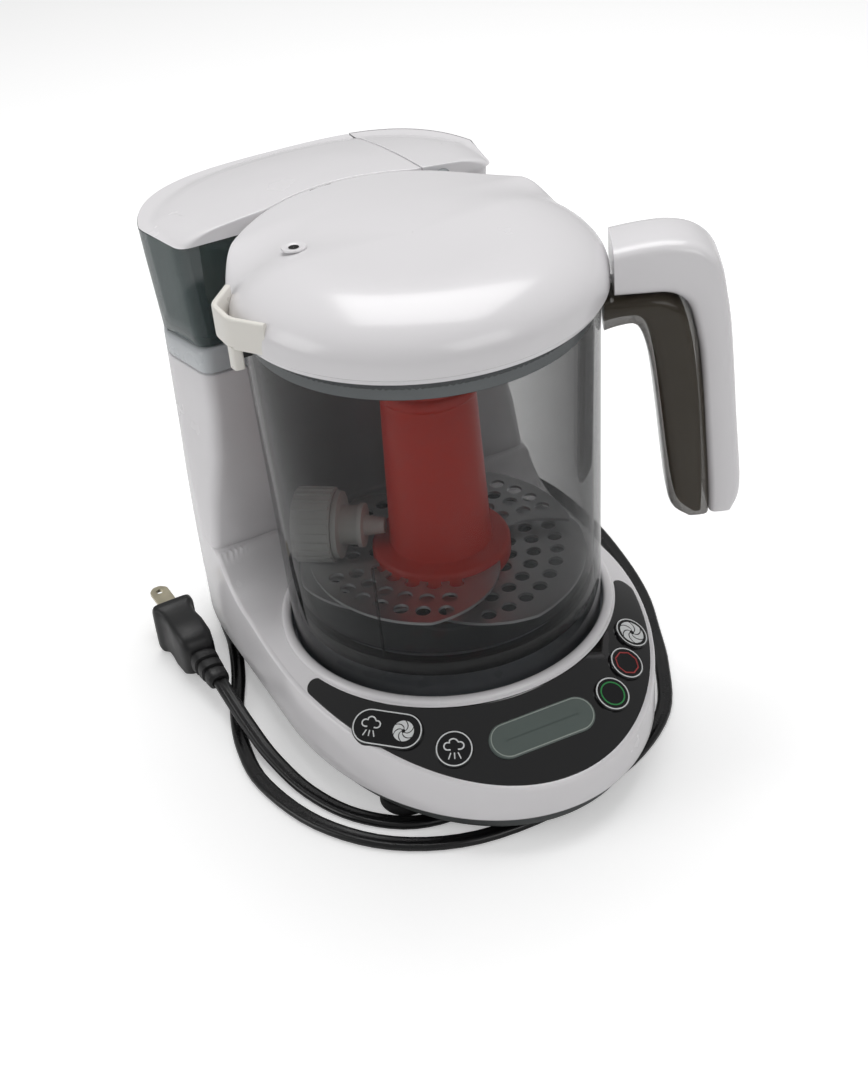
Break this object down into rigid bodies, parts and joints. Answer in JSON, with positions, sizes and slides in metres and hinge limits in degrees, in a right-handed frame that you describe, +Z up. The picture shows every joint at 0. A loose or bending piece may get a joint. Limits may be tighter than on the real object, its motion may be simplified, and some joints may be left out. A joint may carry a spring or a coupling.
{
  "type": "baby food maker",
  "caption": "Countertop baby food maker: smoky bowl with red blade hub on an oval base, water tank tower behind, sloping control panel and corded plug.",
  "frame": {"origin": "on the table, under the middle of the object's outline without its cord", "axes": "+Z up, +Y towards the back of the object, +X to its right; the control panel faces -Y"},
  "size_m": [0.2055, 0.2748, 0.199],
  "materials": {
    "white_plastic": "smooth",
    "tab_plastic": "smooth",
    "grey_pan": "matte",
    "foot_rubber": "matte",
    "steel": "satin",
    "silver_plastic": "satin silver",
    "black_gloss": "high gloss",
    "display": "clear window",
    "lcd": "grey display",
    "board": "circuit board",
    "button_black": "smooth",
    "button_green": "smooth, green ring",
    "button_red": "smooth, red octagon",
    "band_plastic": "light grey",
    "grey_fitting": "matte",
    "silicone": "matte",
    "boiler_metal": "cast",
    "bracket_metal": "zinc plated",
    "motor_can": "zinc plated",
    "drive_plastic": "matte",
    "belt_rubber": "matte",
    "bronze": "plain bearing bronze",
    "switch_plastic": "matte",
    "cord_black": "soft black",
    "blade_brass": "polished",
    "tank_tint": "smoky translucent plastic",
    "seal_rubber": "matte",
    "bowl_tint": "smoky clear plastic",
    "collar_black": "matte",
    "handle_tint": "smoky clear plastic",
    "hub_red": "smooth",
    "liner_grey": "matte",
    "pouch_white": "matte"
  },
  "bodies": {
    "base": {"base_shell": "white_plastic", "bottom_pan": "grey_pan", "feet": "foot_rubber", "base_screws": "steel", "seat_well": "silver_plastic", "trim_ring": "silver_plastic", "control_panel": "black_gloss", "display_window": "display", "lcd_module": "lcd", "panel_board": "board", "tower_shell": "white_plastic", "tank_shelf": "band_plastic", "tower_head": "white_plastic", "tower_cap": "white_plastic", "steam_nozzle": "grey_fitting", "steam_tube": "silicone", "boiler": "boiler_metal", "boiler_bracket": "bracket_metal", "water_tube": "silicone", "motor": "motor_can", "motor_mount": "bracket_metal", "drive_belt": "belt_rubber", "bearing": "bronze", "power_board": "board", "seat_switch": "switch_plastic", "cord_gland": "cord_black", "power_cord": "cord_black", "plug_body": "cord_black", "plug_blades": "blade_brass"},
    "drive": {"drive_pulley": "drive_plastic", "drive_coupler": "drive_plastic"},
    "motor_rotor": {"motor_pulley": "drive_plastic"},
    "tank": {"tank_shell": "tank_tint", "tank_valve": "grey_fitting", "tank_seal": "seal_rubber"},
    "tank_lid": {"tank_lid": "white_plastic"},
    "bowl": {"bowl_jar": "bowl_tint", "bowl_collar": "collar_black", "floor_bush": "bronze", "handle_core": "handle_tint", "handle_cover": "white_plastic"},
    "blade": {"blade_driver": "steel", "lower_blade": "steel", "upper_blade": "steel", "blade_hub": "hub_red"},
    "lid": {"lid_shell": "white_plastic", "lid_liner": "liner_grey", "lid_seal": "silicone", "lid_tab": "tab_plastic", "steam_inlet": "grey_fitting"},
    "pouch_adapter": {"pouch_adapter": "pouch_white"},
    "pouch_cap": {"pouch_cap": "pouch_white"},
    "steam_blend_button": {"steam_blend_button": "button_black"},
    "steam_button": {"steam_button": "button_black"},
    "start_button": {"start_button": "button_green"},
    "stop_button": {"stop_button": "button_red"},
    "blend_button": {"blend_button": "button_black"}
  },
  "joints": [
    {"name": "bowl_lift", "type": "slide", "parent": "base", "child": "bowl", "axis": [0, 0, 1], "range_m": [0, 0.06]},
    {"name": "lid_lift", "type": "slide", "parent": "bowl", "child": "lid", "axis": [0, 0, 1], "range_m": [0, 0.04]},
    {"name": "drive_spin", "type": "hinge", "parent": "base", "child": "drive", "pos_m": [-0.0135, -0.016, 0.03], "axis": [0, 0, 1], "continuous": true},
    {"name": "blade_spin", "type": "hinge", "parent": "bowl", "child": "blade", "pos_m": [-0.0135, -0.016, 0.061], "axis": [0, 0, 1], "continuous": true},
    {"name": "motor_spin", "type": "hinge", "parent": "base", "child": "motor_rotor", "pos_m": [-0.0135, 0.082, 0.023], "axis": [0, 0, 1], "continuous": true},
    {"name": "tank_lift", "type": "slide", "parent": "base", "child": "tank", "axis": [0, 0, 1], "range_m": [0, 0.06]},
    {"name": "tank_lid_lift", "type": "slide", "parent": "tank", "child": "tank_lid", "axis": [0, 0, 1], "range_m": [0, 0.03]},
    {"name": "pouch_lift", "type": "slide", "parent": "blade", "child": "pouch_adapter", "axis": [0, 0, 1], "range_m": [0, 0.02]},
    {"name": "pouch_cap_turn", "type": "hinge", "parent": "pouch_adapter", "child": "pouch_cap", "pos_m": [-0.0595, 0.0132, 0.081], "axis": [0.809, -0.5878, 0], "range_deg": [0, 40]},
    {"name": "steam_blend_button_press", "type": "slide", "parent": "base", "child": "steam_blend_button", "axis": [0.3535, 0.3535, -0.866], "range_m": [0, 0.0008], "stiffness_N_per_m": 1000, "springref_m": -0.0003},
    {"name": "steam_button_press", "type": "slide", "parent": "base", "child": "steam_button", "axis": [0.2231, 0.4475, -0.866], "range_m": [0, 0.0008], "stiffness_N_per_m": 1000, "springref_m": -0.0003},
    {"name": "start_button_press", "type": "slide", "parent": "base", "child": "start_button", "axis": [-0.171, 0.4698, -0.866], "range_m": [0, 0.0008], "stiffness_N_per_m": 1000, "springref_m": -0.0003},
    {"name": "stop_button_press", "type": "slide", "parent": "base", "child": "stop_button", "axis": [-0.2605, 0.4268, -0.866], "range_m": [0, 0.0008], "stiffness_N_per_m": 1000, "springref_m": -0.0003},
    {"name": "blend_button_press", "type": "slide", "parent": "base", "child": "blend_button", "axis": [-0.341, 0.3657, -0.866], "range_m": [0, 0.0008], "stiffness_N_per_m": 1000, "springref_m": -0.0003}
  ],
  "couplings": [
    {"joint": "blade_spin", "follows": "drive_spin", "ratio": 1},
    {"joint": "motor_spin", "follows": "drive_spin", "ratio": 2.6667}
  ]
}
